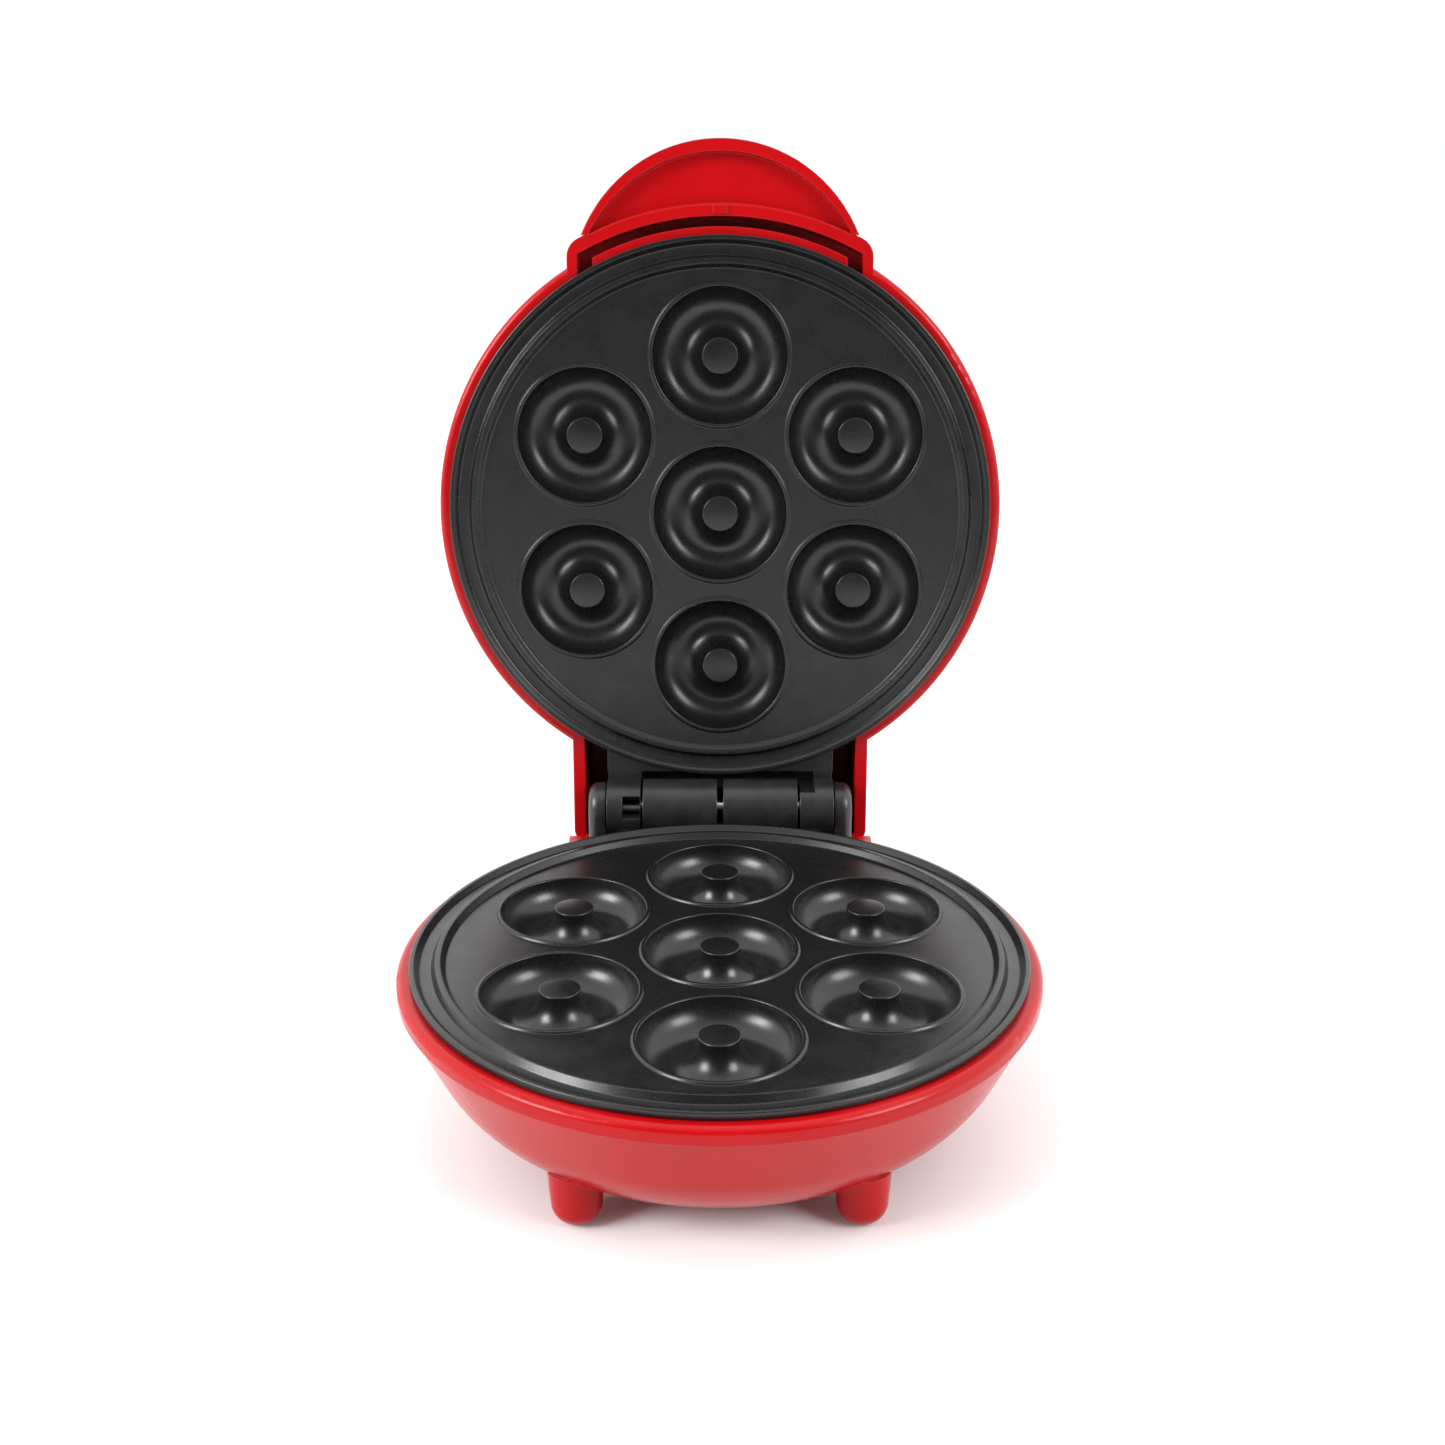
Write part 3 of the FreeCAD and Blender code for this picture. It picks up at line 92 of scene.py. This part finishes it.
def lower_place():
    """From the plate's own frame, in metres, to the object's frame."""
    return Matrix.Translation(PLATE_MIDDLE)


def upper_place():
    """The same for the upper plate: turned over, lifted, and opened about the hinge."""
    lift = (2 * RIDGE_HEIGHT + RIDGE_GAP) * MM
    over = Matrix.Translation((0, 0, lift)) @ Matrix.Rotation(math.pi, 4, "Y")
    turn = Matrix.Rotation(-OPEN_ANGLE, 4, "X")
    about = Matrix.Translation(HINGE_POINT) @ turn @ Matrix.Translation(-HINGE_POINT)
    return about @ lower_place() @ over


# Profiles and meshes

def rounded(points, steps=4):
    """A profile with its corners turned into arcs: points are (radius, height, rounding) in mm."""
    line = []
    for index, point in enumerate(points):
        here = Vector(point[:2])
        size = point[2] if len(point) > 2 else 0
        if size == 0 or index in (0, len(points) - 1):
            line.append(here)
            continue
        back = Vector(points[index - 1][:2]) - here
        ahead = Vector(points[index + 1][:2]) - here
        half = back.angle(ahead) / 2
        reach = min(size / math.tan(half), 0.45 * back.length, 0.45 * ahead.length)
        radius = reach * math.tan(half)
        start = here + back.normalized() * reach
        end = here + ahead.normalized() * reach
        inward = (back.normalized() + ahead.normalized()).normalized()
        centre = here + inward * (radius / math.sin(half))
        for step in range(steps + 1):
            spoke = (start - centre).normalized().slerp((end - centre).normalized(), step / steps)
            line.append(centre + spoke.normalized() * radius)
    return line


def arc(centre, radius, start, end, steps):
    """Points of an arc in the (radius, height) plane; angles in degrees."""
    points = []
    for step in range(steps + 1):
        angle = math.radians(start + (end - start) * step / steps)
        points.append((centre[0] + radius * math.cos(angle), centre[1] + radius * math.sin(angle)))
    return points


class Builder:
    """Collects vertices and faces in millimetres, joining what meets."""

    def __init__(self):
        self.vertices = []
        self.faces = []
        self.known = {}

    def vertex(self, x, y, z):
        """Index of the vertex there, new or known."""
        key = (round(x, 4), round(y, 4), round(z, 4))
        if key not in self.known:
            self.known[key] = len(self.vertices)
            self.vertices.append((x * MM, y * MM, z * MM))
        return self.known[key]

    def turn(self, profile, middle=(0, 0), segments=CAVITY_SEGMENTS):
        """Faces of a profile turned about the upright line through middle."""
        rings = []
        for radius, height in profile:
            if radius < 1e-6:
                rings.append([self.vertex(middle[0], middle[1], height)] * segments)
                continue
            ring = []
            for step in range(segments):
                angle = 2 * math.pi * step / segments
                x = middle[0] + radius * math.cos(angle)
                y = middle[1] + radius * math.sin(angle)
                ring.append(self.vertex(x, y, height))
            rings.append(ring)
        for inner, outer in zip(rings, rings[1:]):
            for step in range(segments):
                following = (step + 1) % segments
                face = [inner[step], outer[step], outer[following], inner[following]]
                face = list(dict.fromkeys(face))
                if len(face) > 2:
                    self.faces.append(face)

    def flat(self, height, outer, middles, hole, up=True):
        """A flat disc with a round hole of the given radius at each of middles."""
        loops = [(0, 0, outer, EDGE_SEGMENTS)]
        loops += [(x, y, hole, CAVITY_SEGMENTS) for x, y in middles]
        points = []
        edges = []
        for x, y, radius, count in loops:
            first = len(points)
            for step in range(count):
                angle = 2 * math.pi * step / count
                points.append((x + radius * math.cos(angle), y + radius * math.sin(angle)))
                edges.append((first + step, first + (step + 1) % count))
        flat_points = [Vector(point) for point in points]
        _, _, faces, origins, _, _ = delaunay_2d_cdt(flat_points, edges, [], 0, 1e-5)
        for face in faces:
            corners = [points[origins[i][0]] for i in face]
            centre = sum((Vector(corner) for corner in corners), Vector((0, 0))) / len(corners)
            if any((centre - Vector(middle)).length < hole * 0.999 for middle in middles):
                continue
            ring = [self.vertex(x, y, height) for x, y in corners]
            self.faces.append(ring if up else ring[::-1])

    def finish(self, name, place, material, sharp=40):
        """The object, smooth shaded except across sharp edges."""
        mesh = bpy.data.meshes.new(name)
        mesh.from_pydata(self.vertices, [], self.faces)
        mesh.update()
        mesh.shade_smooth()
        mesh.set_sharp_from_angle(angle=math.radians(sharp))
        mesh.materials.append(material)
        thing = bpy.data.objects.new(name, mesh)
        bpy.context.scene.collection.objects.link(thing)
        thing.matrix_world = place
        return thing


# Materials

class Shader:
    """Small helper round a node material."""

    def __init__(self, name):
        self.material = bpy.data.materials.new(name)
        self.material.use_nodes = True
        self.tree = self.material.node_tree
        self.bsdf = self.tree.nodes["Principled BSDF"]
        self.place = self.node("ShaderNodeTexCoord")

    def node(self, kind, **settings):
        """A new node with its properties set."""
        node = self.tree.nodes.new(kind)
        for key, value in settings.items():
            setattr(node, key, value)
        return node

    def link(self, start, end):
        """Joins two sockets."""
        self.tree.links.new(start, end)

    def set(self, **values):
        """Sets the shader's sockets; an underscore stands for a space in a name."""
        for key, value in values.items():
            self.bsdf.inputs[key.replace("_", " ")].default_value = value

    def noise(self, size, detail=2.0, rough=0.5):
        """Noise with features of about size metres."""
        noise = self.node("ShaderNodeTexNoise")
        noise.inputs["Scale"].default_value = 1 / size
        noise.inputs["Detail"].default_value = detail
        noise.inputs["Roughness"].default_value = rough
        self.link(self.place.outputs["Object"], noise.inputs["Vector"])
        return noise.outputs["Fac"]

    def ramp(self, factor, stops):
        """Colour ramp over a factor; stops are (position, colour)."""
        ramp = self.node("ShaderNodeValToRGB")
        elements = ramp.color_ramp.elements
        while len(elements) < len(stops):
            elements.new(0.5)
        for element, (position, colour) in zip(elements, stops):
            element.position = position
            element.color = (*colour, 1)
        self.link(factor, ramp.inputs["Fac"])
        return ramp.outputs["Color"]

    def spread(self, factor, low, high):
        """A factor of 0.3 to 0.7 mapped to low to high."""
        node = self.node("ShaderNodeMapRange")
        node.inputs["From Min"].default_value = 0.3
        node.inputs["From Max"].default_value = 0.7
        node.inputs["To Min"].default_value = low
        node.inputs["To Max"].default_value = high
        self.link(factor, node.inputs["Value"])
        return node.outputs["Result"]

    def soft_edges(self, radius):
        """A normal that rounds off edges, radius in metres."""
        node = self.node("ShaderNodeBevel", samples=6)
        node.inputs["Radius"].default_value = radius
        return node.outputs["Normal"]

    def bump(self, height, strength, depth, under=None):
        """A normal with bumps of a given depth in metres, on top of another normal."""
        node = self.node("ShaderNodeBump")
        node.inputs["Strength"].default_value = strength
        node.inputs["Distance"].default_value = depth
        self.link(height, node.inputs["Height"])
        if under is not None:
            self.link(under, node.inputs["Normal"])
        return node.outputs["Normal"]

    def colour(self, factor, stops):
        """Colours the surface by a ramp over a factor."""
        self.link(self.ramp(factor, stops), self.bsdf.inputs["Base Color"])

    def gloss(self, factor, low, high):
        """Makes the roughness vary with a factor."""
        self.link(self.spread(factor, low, high), self.bsdf.inputs["Roughness"])

    def surface(self, normal):
        """Gives the surface its normal."""
        self.link(normal, self.bsdf.inputs["Normal"])


def moulded(name, dark, light, rough, grain, grain_depth):
    """Moulded plastic: two close shades, uneven gloss, fine grain and a faint orange peel."""
    shader = Shader(name)
    shader.set(IOR=1.30)
    shader.colour(shader.noise(0.03, 3), [(0.35, dark), (0.65, light)])
    shader.gloss(shader.noise(0.012, 4), rough - 0.03, rough + 0.03)
    peel = shader.bump(shader.noise(0.009, 1), 0.2, 0.03 * MM, shader.soft_edges(0.9 * MM))
    shader.surface(shader.bump(shader.noise(grain, 2), 0.5, grain_depth, peel))
    return shader.material


def matt(name, dark, light, rough, grain):
    """Rubber, nylon or ceramic: moulded, with a deeper grain."""
    return moulded(name, dark, light, rough, grain, 0.01 * MM)


def red_plastic():
    """The shells' semi-gloss red."""
    dark = (0.345, 0.0014, 0.0032)
    light = (0.37, 0.0021, 0.0043)
    return moulded("red_plastic", dark, light, 0.22, 0.9 * MM, 0.0012 * MM)


def black_plastic():
    """The hinge's dark moulded plastic, with fine turning lines along the barrels."""
    shader = Shader("black_plastic")
    shader.set(IOR=1.5)
    stops = [(0.35, (0.011, 0.011, 0.011)), (0.65, (0.019, 0.019, 0.019))]
    shader.colour(shader.noise(0.01, 3), stops)
    shader.gloss(shader.noise(0.004, 3), 0.27, 0.35)
    lines = shader.node("ShaderNodeTexWave", bands_direction="X")
    lines.inputs["Scale"].default_value = 300
    lines.inputs["Distortion"].default_value = 0.4
    lines.inputs["Detail"].default_value = 1
    shader.link(shader.place.outputs["Object"], lines.inputs["Vector"])
    grooves = shader.bump(lines.outputs["Fac"], 0.35, 0.03 * MM, shader.soft_edges(0.5 * MM))
    shader.surface(shader.bump(shader.noise(0.0005, 2), 0.5, 0.01 * MM, grooves))
    return shader.material


def nonstick():
    """Satin dark coat with a fine sprayed grain and paler specks."""
    shader = Shader("nonstick_coat")
    shader.set(IOR=1.5)
    dark = (0.0035, 0.0036, 0.0037)
    light = (0.007, 0.007, 0.0072)
    speck = (0.032, 0.032, 0.032)
    shader.colour(shader.noise(0.00055, 3, 0.6), [(0.42, dark), (0.62, light), (0.74, speck)])
    shader.gloss(shader.noise(0.010, 3), 0.25, 0.32)
    shader.surface(shader.bump(shader.noise(0.0007, 3, 0.6), 0.6, 0.02 * MM))
    return shader.material


def metal(name, colour, rough):
    """Plain metal with a drawn grain and uneven gloss."""
    shader = Shader(name)
    shader.set(Metallic=1.0)
    paler = tuple(min(1, c * 1.12) for c in colour)
    shader.colour(shader.noise(0.004, 4), [(0.35, colour), (0.65, paler)])
    shader.gloss(shader.noise(0.002, 4), rough - 0.06, rough + 0.06)
    shader.surface(shader.bump(shader.noise(0.0004, 3), 0.4, 0.01 * MM))
    return shader.material


def lens(name, colour):
    """Clear tinted plastic."""
    paler = tuple(min(1, c * 1.1) for c in colour)
    material = moulded(name, colour, paler, 0.12, 0.6 * MM, 0.002 * MM)
    material.node_tree.nodes["Principled BSDF"].inputs["Transmission Weight"].default_value = 0.6
    return material


def make_materials():
    """Every material by the record's slot."""
    rubber = (0.018, 0.018, 0.018), (0.026, 0.026, 0.026)
    nylon = (0.72, 0.71, 0.67), (0.78, 0.77, 0.73)
    ceramic = (0.76, 0.74, 0.69), (0.82, 0.80, 0.76)
    sleeve = (0.62, 0.58, 0.45), (0.70, 0.66, 0.52)
    return {
        "red_plastic": red_plastic(),
        "black_plastic": black_plastic(),
        "nonstick_casting": nonstick(),
        "steel": metal("plain_steel", (0.52, 0.52, 0.53), 0.32),
        "zinc": metal("zinc_plated", (0.60, 0.60, 0.58), 0.38),
        "black_rubber": matt("black_rubber", *rubber, 0.62, 0.5 * MM),
        "white_plastic": matt("white_nylon", *nylon, 0.42, 0.6 * MM),
        "white_ceramic": matt("white_ceramic", *ceramic, 0.36, 0.4 * MM),
        "fuse_sleeve": matt("fuse_sleeve", *sleeve, 0.5, 0.4 * MM),
        "red_lens": lens("red_lens", (0.70, 0.03, 0.02)),
        "green_lens": lens("green_lens", (0.03, 0.52, 0.08)),
        "lamp_glass": lens("lamp_glass", (0.85, 0.80, 0.70)),
    }


def dress_nodes(materials):
    """Gives every CAD node the material of its slot."""
    for part in frame["record"]["subparts"]:
        node = frame["nodes"][part["node"]]
        node.data.materials.clear()
        node.data.materials.append(materials[part["material_slot"]])


# The plates

def cavity_profile():
    """From a cavity's middle to the foot of its bead."""
    post = rounded([(0, 1.2), (6.55, 1.2, 0.4), (6.6, TROUGH_LEVEL)])
    trough = arc((TROUGH_RADIUS, TROUGH_LEVEL), TROUGH_SECTION, 180, 360, 36)
    bead = [(24.6, -0.2), (24.65, 0.7, 0.6), (25.9, 0.7, 0.5), (26.25, 0, 0.3), (BEAD_FOOT, 0)]
    return post[:-1] + trough + rounded(bead)


def edge_profile():
    """From the web of a plate over its ridge, channel, raised edge and ribs to the underside."""
    ridge = [(WEB_RADIUS, 0), (88.7, 0, 0.9), (90.1, RIDGE_HEIGHT, 0.35), (91.9, RIDGE_HEIGHT, 0.3)]
    channel = [(93.2, -0.4, 0.6), (97.0, -0.4, 0.9)]
    raised = [(98.6, 1.45, 0.35), (100.2, 1.45, 0.5)]
    flange = [(100.2, -1.07, 0.3), (96.6, -1.07, 0.3), (96.0, UNDERSIDE, 0.4)]
    ribs = []
    for outer, inner in ((93.1, 92.0), (85.0, UNDERSIDE_RADIUS)):
        ribs += [(outer, UNDERSIDE), (outer, RIB_FOOT), (inner, RIB_FOOT), (inner, UNDERSIDE)]
    return rounded(ridge + channel + raised + flange + ribs)


def under_profile():
    """From the underside down round the cup under a cavity to its middle."""
    wall = arc((TROUGH_RADIUS, TROUGH_LEVEL), CUP_SECTION, -22.8, -90, 14)
    return [(CUP_RADIUS, UNDERSIDE)] + wall + [(0, TROUGH_LEVEL - CUP_SECTION)]


def plate(name, place, material):
    """A casting: seven ring cavities in a flat web with a ridged, raised edge."""
    middles = [(0.0, 0.0)]
    for step in range(6):
        angle = math.radians(30 + 60 * step)
        middles.append((PITCH_RADIUS * math.cos(angle), PITCH_RADIUS * math.sin(angle)))
    build = Builder()
    for middle in middles:
        build.turn(cavity_profile(), middle)
        build.turn(under_profile(), middle)
    build.turn(edge_profile(), segments=EDGE_SEGMENTS)
    build.flat(0, WEB_RADIUS, middles, BEAD_FOOT)
    build.flat(UNDERSIDE, UNDERSIDE_RADIUS, middles, CUP_RADIUS, up=False)
    return build.finish(name, place, material, sharp=50)


# Stage

FLOOR_REACH = 6.0
LIGHT_TARGET = Vector((0, 0, 0.1))
FADE_NEAR = -0.85  # how far back the surround's light starts and stops growing
FADE_FAR = 0.0
SURROUND_NEAR = 0.16  # its strength on the viewer's side and behind the object
SURROUND_FAR = 1.8
LENS_MM = 44.77
LOOKS_DOWN = 20.09  # degrees
EYE_FROM_PLATE = Vector((0.0009, -0.5255, 0.2709))


def floor():
    """Plain pale floor, wide enough for every view."""
    mesh = bpy.data.meshes.new("floor")
    low, high = -FLOOR_REACH, FLOOR_REACH
    corners = [(low, low, 0), (high, low, 0), (high, high, 0), (low, high, 0)]
    mesh.from_pydata(corners, [], [(0, 1, 2, 3)])
    ground = bpy.data.objects.new("floor", mesh)
    bpy.context.scene.collection.objects.link(ground)
    shader = Shader("pale_floor")
    shader.set(Roughness=0.7, Specular_IOR_Level=0.2)
    shader.colour(shader.noise(0.3), [(0.3, (0.78, 0.78, 0.78)), (0.7, (0.80, 0.80, 0.80))])
    mesh.materials.append(shader.material)


def softbox(name, place, power):
    """Square light a metre across that looks at the object."""
    light = bpy.data.lights.new(name, "AREA")
    light.shape = "SQUARE"
    light.size = 1.0
    light.energy = power
    lamp = bpy.data.objects.new(name, light)
    lamp.location = place
    lamp.rotation_euler = (LIGHT_TARGET - Vector(place)).to_track_quat("-Z", "Y").to_euler()
    bpy.context.scene.collection.objects.link(lamp)


def world():
    """White surround, darker on the viewer's side, that looks plain white itself."""
    scene = bpy.context.scene
    scene.world = bpy.data.worlds.new("studio")
    scene.world.use_nodes = True
    tree = scene.world.node_tree
    light = tree.nodes["Background"]
    light.inputs["Color"].default_value = (1, 1, 1, 1)
    place = tree.nodes.new("ShaderNodeTexCoord")
    parts = tree.nodes.new("ShaderNodeSeparateXYZ")
    fade = tree.nodes.new("ShaderNodeMapRange")
    fade.interpolation_type = "SMOOTHSTEP"
    fade.inputs["From Min"].default_value = FADE_NEAR
    fade.inputs["From Max"].default_value = FADE_FAR
    fade.inputs["To Min"].default_value = SURROUND_NEAR
    fade.inputs["To Max"].default_value = SURROUND_FAR
    tree.links.new(place.outputs["Generated"], parts.inputs[0])
    tree.links.new(parts.outputs["Y"], fade.inputs["Value"])
    tree.links.new(fade.outputs["Result"], light.inputs["Strength"])
    seen = tree.nodes.new("ShaderNodeBackground")
    seen.inputs["Color"].default_value = (1, 1, 1, 1)
    seen.inputs["Strength"].default_value = 1.0
    path = tree.nodes.new("ShaderNodeLightPath")
    mix = tree.nodes.new("ShaderNodeMixShader")
    tree.links.new(path.outputs["Is Camera Ray"], mix.inputs[0])
    tree.links.new(light.outputs[0], mix.inputs[1])
    tree.links.new(seen.outputs[0], mix.inputs[2])
    tree.links.new(mix.outputs[0], tree.nodes["World Output"].inputs["Surface"])


def camera():
    """In front of the object and above it, looking down a little, level from side to side."""
    data = bpy.data.cameras.new("camera")
    data.sensor_width = 36
    data.lens = LENS_MM
    eye = bpy.data.objects.new("camera", data)
    eye.location = PLATE_MIDDLE + EYE_FROM_PLATE
    eye.rotation_euler = Euler((math.radians(90 - LOOKS_DOWN), 0, 0))
    bpy.context.scene.collection.objects.link(eye)
    bpy.context.scene.camera = eye


camera()
materials = make_materials()
dress_nodes(materials)
for half, place, body in (("lower", lower_place(), "base"), ("upper", upper_place(), "lid")):
    casting = plate(half + "_plate_casting", place, materials["nonstick_casting"])
    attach(casting, body)
    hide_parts(half + "_plate")

floor()
world()
bpy.context.scene.view_settings.view_transform = "Standard"
softbox("left_softbox", (-1.92, -1.02, 1.34), 60)
softbox("right_softbox", (1.84, -1.14, 1.34), 40)
